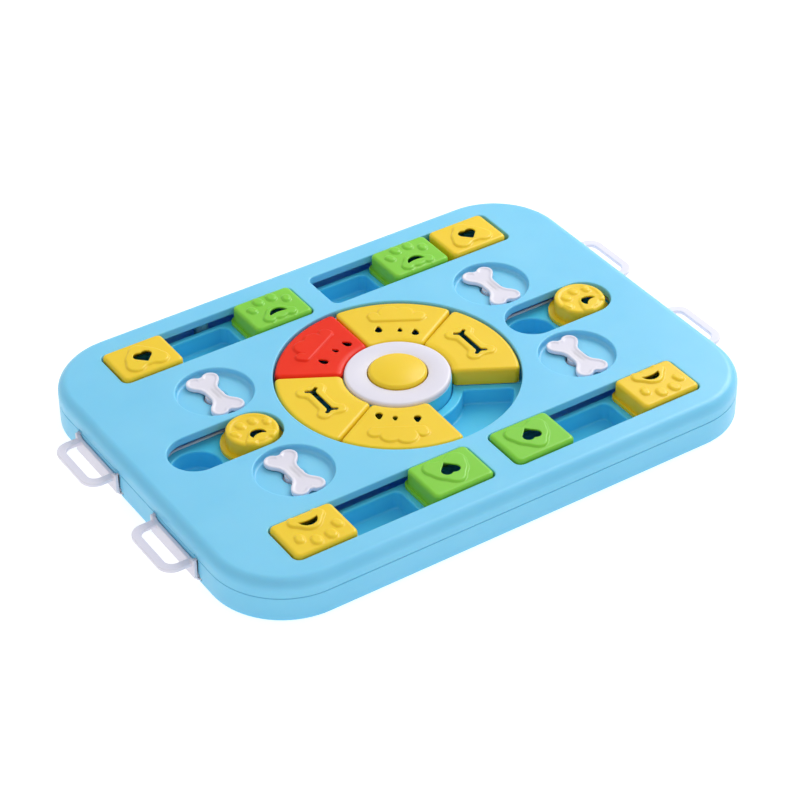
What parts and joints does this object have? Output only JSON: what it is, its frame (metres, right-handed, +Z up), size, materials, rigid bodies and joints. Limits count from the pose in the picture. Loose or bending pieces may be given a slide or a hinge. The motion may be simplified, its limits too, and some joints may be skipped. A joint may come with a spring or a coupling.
{
  "type": "dog puzzle feeder",
  "caption": "Flat rounded board with sliding blocks, a turning wheel of lids, round sliders, spinning bones, side clips and a push button over treat wells.",
  "frame": {"origin": "middle of the board on the surface that the feet stand on", "axes": "+X along the long side, +Y to the back, +Z up"},
  "size_m": [0.3774, 0.252, 0.0306],
  "materials": {
    "sky_plastic": "moulded satin",
    "tray_plastic": "moulded satin",
    "white_plastic": "moulded satin",
    "yellow_plastic": "moulded satin",
    "green_plastic": "moulded satin",
    "red_plastic": "moulded satin",
    "steel": "zinc plated",
    "foot_rubber": "matte",
    "soft_rubber": "matte"
  },
  "bodies": {
    "board": {"top_cover": "sky_plastic", "base_rim": "sky_plastic", "bottom_plate": "sky_plastic", "back_left_tray": "tray_plastic", "back_right_tray": "tray_plastic", "front_left_tray": "tray_plastic", "front_right_tray": "tray_plastic", "left_round_tray": "tray_plastic", "right_round_tray": "tray_plastic", "wheel_tray_right": "tray_plastic", "wheel_tray_back_right": "tray_plastic", "wheel_tray_back_left": "tray_plastic", "wheel_tray_left": "tray_plastic", "wheel_tray_front_left": "tray_plastic", "wheel_tray_front_right": "tray_plastic", "squeaker_cup": "tray_plastic", "left_guide_ring": "white_plastic", "right_guide_ring": "white_plastic", "hub_ring": "white_plastic", "squeaker_bellows": "soft_rubber", "squeaker_reed": "white_plastic", "clip_pins": "steel", "case_screws": "steel", "rubber_feet": "foot_rubber"},
    "push_button": {"push_button": "yellow_plastic"},
    "back_left_yellow_block": {"back_left_yellow_block": "yellow_plastic"},
    "back_left_green_block": {"back_left_green_block": "green_plastic"},
    "back_right_green_block": {"back_right_green_block": "green_plastic"},
    "back_right_yellow_block": {"back_right_yellow_block": "yellow_plastic"},
    "front_left_yellow_block": {"front_left_yellow_block": "yellow_plastic"},
    "front_left_green_block": {"front_left_green_block": "green_plastic"},
    "front_right_green_block": {"front_right_green_block": "green_plastic"},
    "front_right_yellow_block": {"front_right_yellow_block": "yellow_plastic"},
    "left_round_slider": {"left_round_slider": "yellow_plastic"},
    "right_round_slider": {"right_round_slider": "yellow_plastic"},
    "wheel_lid_red": {"wheel_lid_red": "red_plastic"},
    "wheel_lid_back": {"wheel_lid_back": "yellow_plastic"},
    "wheel_lid_right": {"wheel_lid_right": "yellow_plastic"},
    "wheel_lid_left": {"wheel_lid_left": "yellow_plastic"},
    "wheel_lid_front": {"wheel_lid_front": "yellow_plastic"},
    "clip_left_back": {"clip_left_back": "white_plastic"},
    "clip_left_front": {"clip_left_front": "white_plastic"},
    "clip_right_back": {"clip_right_back": "white_plastic"},
    "clip_right_front": {"clip_right_front": "white_plastic"},
    "bone_back_left": {"bone_back_left": "white_plastic", "bone_washer_back_left": "white_plastic", "bone_screw_back_left": "steel"},
    "bone_back_right": {"bone_back_right": "white_plastic", "bone_washer_back_right": "white_plastic", "bone_screw_back_right": "steel"},
    "bone_front_left": {"bone_front_left": "white_plastic", "bone_washer_front_left": "white_plastic", "bone_screw_front_left": "steel"},
    "bone_front_right": {"bone_front_right": "white_plastic", "bone_washer_front_right": "white_plastic", "bone_screw_front_right": "steel"}
  },
  "joints": [
    {"name": "back_left_yellow_slide", "type": "slide", "parent": "board", "child": "back_left_yellow_block", "axis": [1, 0, 0], "range_m": [0, 0.0435]},
    {"name": "back_left_green_slide", "type": "slide", "parent": "board", "child": "back_left_green_block", "axis": [1, 0, 0], "range_m": [-0.0435, 0]},
    {"name": "back_right_yellow_slide", "type": "slide", "parent": "board", "child": "back_right_yellow_block", "axis": [1, 0, 0], "range_m": [-0.0431, 0.0018]},
    {"name": "back_right_green_slide", "type": "slide", "parent": "board", "child": "back_right_green_block", "axis": [1, 0, 0], "range_m": [-0.0431, 0.0018]},
    {"name": "front_left_yellow_slide", "type": "slide", "parent": "board", "child": "front_left_yellow_block", "axis": [1, 0, 0], "range_m": [0, 0.0435]},
    {"name": "front_left_green_slide", "type": "slide", "parent": "board", "child": "front_left_green_block", "axis": [1, 0, 0], "range_m": [-0.0435, 0]},
    {"name": "front_right_green_slide", "type": "slide", "parent": "board", "child": "front_right_green_block", "axis": [1, 0, 0], "range_m": [0, 0.0435]},
    {"name": "front_right_yellow_slide", "type": "slide", "parent": "board", "child": "front_right_yellow_block", "axis": [1, 0, 0], "range_m": [-0.0435, 0]},
    {"name": "left_round_slide", "type": "slide", "parent": "board", "child": "left_round_slider", "axis": [1, 0, 0], "range_m": [-0.0357, 0.0018]},
    {"name": "right_round_slide", "type": "slide", "parent": "board", "child": "right_round_slider", "axis": [1, 0, 0], "range_m": [-0.0345, 0.003]},
    {"name": "wheel_lid_red_turn", "type": "hinge", "parent": "board", "child": "wheel_lid_red", "pos_m": [0, 0, 0.0154], "axis": [0, 0, 1], "continuous": true},
    {"name": "wheel_lid_back_turn", "type": "hinge", "parent": "board", "child": "wheel_lid_back", "pos_m": [0, 0, 0.0154], "axis": [0, 0, 1], "continuous": true},
    {"name": "wheel_lid_right_turn", "type": "hinge", "parent": "board", "child": "wheel_lid_right", "pos_m": [0, 0, 0.0154], "axis": [0, 0, 1], "continuous": true},
    {"name": "wheel_lid_left_turn", "type": "hinge", "parent": "board", "child": "wheel_lid_left", "pos_m": [0, 0, 0.0154], "axis": [0, 0, 1], "continuous": true},
    {"name": "wheel_lid_front_turn", "type": "hinge", "parent": "board", "child": "wheel_lid_front", "pos_m": [0, 0, 0.0154], "axis": [0, 0, 1], "continuous": true},
    {"name": "bone_back_left_spin", "type": "hinge", "parent": "board", "child": "bone_back_left", "pos_m": [-0.0953, 0.0429, 0.0223], "axis": [0, 0, 1], "continuous": true},
    {"name": "bone_back_right_spin", "type": "hinge", "parent": "board", "child": "bone_back_right", "pos_m": [0.0953, 0.0429, 0.0223], "axis": [0, 0, 1], "continuous": true},
    {"name": "bone_front_left_spin", "type": "hinge", "parent": "board", "child": "bone_front_left", "pos_m": [-0.0953, -0.0429, 0.0223], "axis": [0, 0, 1], "continuous": true},
    {"name": "bone_front_right_spin", "type": "hinge", "parent": "board", "child": "bone_front_right", "pos_m": [0.0953, -0.0429, 0.0223], "axis": [0, 0, 1], "continuous": true},
    {"name": "clip_left_back_swing", "type": "hinge", "parent": "board", "child": "clip_left_back", "pos_m": [-0.1694, 0.0433, 0.0031], "axis": [0, -1, 0], "range_deg": [0, 28]},
    {"name": "clip_left_front_swing", "type": "hinge", "parent": "board", "child": "clip_left_front", "pos_m": [-0.1694, -0.0433, 0.0031], "axis": [0, -1, 0], "range_deg": [0, 28]},
    {"name": "clip_right_back_swing", "type": "hinge", "parent": "board", "child": "clip_right_back", "pos_m": [0.1694, 0.0433, 0.0031], "axis": [0, 1, 0], "range_deg": [0, 28]},
    {"name": "clip_right_front_swing", "type": "hinge", "parent": "board", "child": "clip_right_front", "pos_m": [0.1694, -0.0433, 0.0031], "axis": [0, 1, 0], "range_deg": [0, 28]},
    {"name": "push_button_press", "type": "slide", "parent": "board", "child": "push_button", "axis": [0, 0, 1], "range_m": [-0.003, 0], "stiffness_N_per_m": 600, "springref_m": 0.0005, "deforming": ["squeaker_bellows"]}
  ],
  "couplings": [
    {"joint": "back_right_green_slide", "follows": "back_right_yellow_slide", "ratio": 1},
    {"joint": "wheel_lid_back_turn", "follows": "wheel_lid_red_turn", "ratio": 1},
    {"joint": "wheel_lid_right_turn", "follows": "wheel_lid_red_turn", "ratio": 1},
    {"joint": "wheel_lid_left_turn", "follows": "wheel_lid_red_turn", "ratio": 1},
    {"joint": "wheel_lid_front_turn", "follows": "wheel_lid_red_turn", "ratio": 1}
  ]
}
